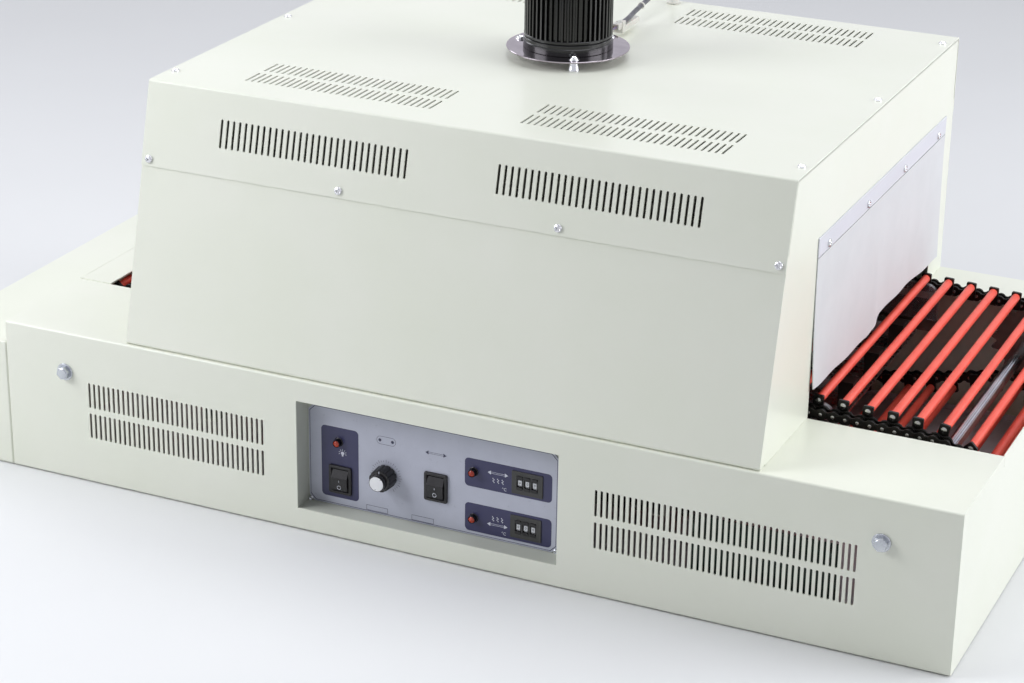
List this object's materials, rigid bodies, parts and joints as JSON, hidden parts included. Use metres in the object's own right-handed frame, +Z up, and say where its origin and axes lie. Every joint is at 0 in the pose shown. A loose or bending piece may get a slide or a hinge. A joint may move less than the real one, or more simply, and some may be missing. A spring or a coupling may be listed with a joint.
{
  "type": "infrared shrink tunnel",
  "caption": "Bench shrink tunnel: sheet cabinet with rod conveyor, sloped heating hood with curtained mouths, roof fan motor and a recessed control panel",
  "frame": {"origin": "centre of the base cabinet's footprint, on the floor", "axes": "+X along the conveyor towards the outfeed, +Y from the control side to the rear, +Z up"},
  "size_m": [1.145, 0.6421, 0.5714],
  "materials": {
    "cabinet_paint": "ivory satin powder coat",
    "hood_paint": "ivory satin powder coat",
    "strip_paint": "ivory satin powder coat",
    "bright_sheet": "bright rolled",
    "quartz": "clear fused quartz",
    "ceramic": "glazed ceramic",
    "curtain_cloth": "coated heat-proof cloth",
    "screw_chrome": "polished plating",
    "zinc": "bright zinc plating",
    "flange_chrome": "polished",
    "motor_black": "black gloss",
    "shaft_steel": "ground and plated",
    "impeller_metal": "mill finish",
    "connector_plastic": "translucent natural",
    "cable_sheath": "smooth",
    "rubber_black": "matt",
    "frame_steel": "bare steel",
    "guide_plastic": "translucent natural",
    "sprocket_steel": "blackened steel",
    "chain_black": "blackened and oiled",
    "coral_sleeve": "silicone sleeve",
    "gearmotor_paint": "grey enamel",
    "recess_paint": "ivory satin powder coat",
    "label_face": "printed satin",
    "switch_black": "fine grain",
    "rocker_black": "moulded gloss",
    "knob_black": "fluted with bright cap",
    "pot_metal": "stamped can",
    "lamp_chrome": "plated",
    "lamp_red": "translucent red",
    "setter_black": "moulded",
    "wheel_black": "moulded",
    "gland_plastic": "moulded nylon",
    "board_green": "solder mask"
  },
  "bodies": {
    "machine": {"base_front_cover": "cabinet_paint", "base_rear_cover": "cabinet_paint", "base_left_end": "cabinet_paint", "base_right_end": "cabinet_paint", "base_bottom_pan": "cabinet_paint", "drive_end_housing": "cabinet_paint", "hood_cap": "hood_paint", "hood_front_cover": "hood_paint", "hood_rear_cover": "hood_paint", "hood_left_side": "hood_paint", "hood_right_side": "hood_paint", "curtain_strips": "strip_paint", "chamber_liner": "bright_sheet", "lower_reflector": "bright_sheet", "heater_tubes": "quartz", "heater_holders": "ceramic", "pan_heads": "screw_chrome", "fan_standoffs": "screw_chrome", "axle_bolts": "zinc", "fan_flange": "flange_chrome", "fan_motor_body": "motor_black", "fan_motor_cap": "motor_black", "axles": "shaft_steel", "fan_connector": "connector_plastic", "fan_cable": "cable_sheath", "cable_grommet": "rubber_black", "conveyor_frame": "frame_steel", "chain_guides": "guide_plastic", "conveyor_chains": "chain_black", "roller_tabs": "chain_black", "drive_chain": "chain_black", "roller_rods": "coral_sleeve", "gearmotor": "gearmotor_paint", "recess_box": "recess_paint", "label_plate": "label_face", "rocker_cases": "switch_black", "speed_potentiometer": "pot_metal", "lamp_bezels": "lamp_chrome", "lamp_lenses": "lamp_red", "setter_housings": "setter_black", "mains_gland": "gland_plastic", "control_board": "board_green"},
    "entry_curtain": {"entry_curtain": "curtain_cloth"},
    "exit_curtain": {"exit_curtain": "curtain_cloth"},
    "fan_rotor": {"fan_shaft": "shaft_steel", "fan_impeller": "impeller_metal"},
    "entry_wheels": {"entry_sprockets": "sprocket_steel", "drive_tube": "shaft_steel", "driven_sprocket": "sprocket_steel"},
    "exit_wheels": {"exit_sprockets": "sprocket_steel"},
    "gearmotor_output": {"gearmotor_sprocket": "sprocket_steel"},
    "power_rocker": {"power_rocker": "rocker_black"},
    "heater_rocker": {"heater_rocker": "rocker_black"},
    "speed_knob": {"speed_knob": "knob_black"},
    "upper_number_wheel_1": {"upper_number_wheel_1": "wheel_black"},
    "upper_number_wheel_2": {"upper_number_wheel_2": "wheel_black"},
    "upper_number_wheel_3": {"upper_number_wheel_3": "wheel_black"},
    "lower_number_wheel_1": {"lower_number_wheel_1": "wheel_black"},
    "lower_number_wheel_2": {"lower_number_wheel_2": "wheel_black"},
    "lower_number_wheel_3": {"lower_number_wheel_3": "wheel_black"}
  },
  "joints": [
    {"name": "entry_curtain_hinge", "type": "hinge", "parent": "machine", "child": "entry_curtain", "pos_m": [-0.3764, 0.053, 0.3366], "axis": [0, 1, 0], "range_deg": [0, 80]},
    {"name": "exit_curtain_hinge", "type": "hinge", "parent": "machine", "child": "exit_curtain", "pos_m": [0.3267, 0.053, 0.3366], "axis": [0, -1, 0], "range_deg": [0, 80]},
    {"name": "fan_spin", "type": "hinge", "parent": "machine", "child": "fan_rotor", "pos_m": [-0.028, 0.0385, 0.42], "axis": [0, 0, 1], "continuous": true},
    {"name": "entry_wheels_turn", "type": "hinge", "parent": "machine", "child": "entry_wheels", "pos_m": [-0.45165, 0.0465, 0.1239], "axis": [0, 1, 0], "continuous": true},
    {"name": "exit_wheels_turn", "type": "hinge", "parent": "machine", "child": "exit_wheels", "pos_m": [0.4494, 0.0465, 0.1239], "axis": [0, 1, 0], "continuous": true},
    {"name": "gearmotor_turn", "type": "hinge", "parent": "machine", "child": "gearmotor_output", "pos_m": [-0.5729, -0.1815, 0.072], "axis": [0, 1, 0], "continuous": true},
    {"name": "power_rocker_tilt", "type": "hinge", "parent": "machine", "child": "power_rocker", "pos_m": [-0.134, -0.2833, 0.0542], "axis": [1, 0, 0], "range_deg": [-16, 0]},
    {"name": "heater_rocker_tilt", "type": "hinge", "parent": "machine", "child": "heater_rocker", "pos_m": [-0.0241, -0.2833, 0.0692], "axis": [1, 0, 0], "range_deg": [-16, 0]},
    {"name": "speed_knob_turn", "type": "hinge", "parent": "machine", "child": "speed_knob", "pos_m": [-0.0812, -0.2833, 0.0696], "axis": [0, 1, 0], "range_deg": [-150, 150]},
    {"name": "upper_number_wheel_1_turn", "type": "hinge", "parent": "machine", "child": "upper_number_wheel_1", "pos_m": [0.06915, -0.2742, 0.0938], "axis": [1, 0, 0], "continuous": true},
    {"name": "upper_number_wheel_2_turn", "type": "hinge", "parent": "machine", "child": "upper_number_wheel_2", "pos_m": [0.0773, -0.2742, 0.0938], "axis": [1, 0, 0], "continuous": true},
    {"name": "upper_number_wheel_3_turn", "type": "hinge", "parent": "machine", "child": "upper_number_wheel_3", "pos_m": [0.08545, -0.2742, 0.0938], "axis": [1, 0, 0], "continuous": true},
    {"name": "lower_number_wheel_1_turn", "type": "hinge", "parent": "machine", "child": "lower_number_wheel_1", "pos_m": [0.06825, -0.2742, 0.0447], "axis": [1, 0, 0], "continuous": true},
    {"name": "lower_number_wheel_2_turn", "type": "hinge", "parent": "machine", "child": "lower_number_wheel_2", "pos_m": [0.0764, -0.2742, 0.0447], "axis": [1, 0, 0], "continuous": true},
    {"name": "lower_number_wheel_3_turn", "type": "hinge", "parent": "machine", "child": "lower_number_wheel_3", "pos_m": [0.08455, -0.2742, 0.0447], "axis": [1, 0, 0], "continuous": true}
  ],
  "couplings": [
    {"joint": "exit_wheels_turn", "follows": "entry_wheels_turn", "ratio": 1},
    {"joint": "gearmotor_turn", "follows": "entry_wheels_turn", "ratio": 2}
  ]
}
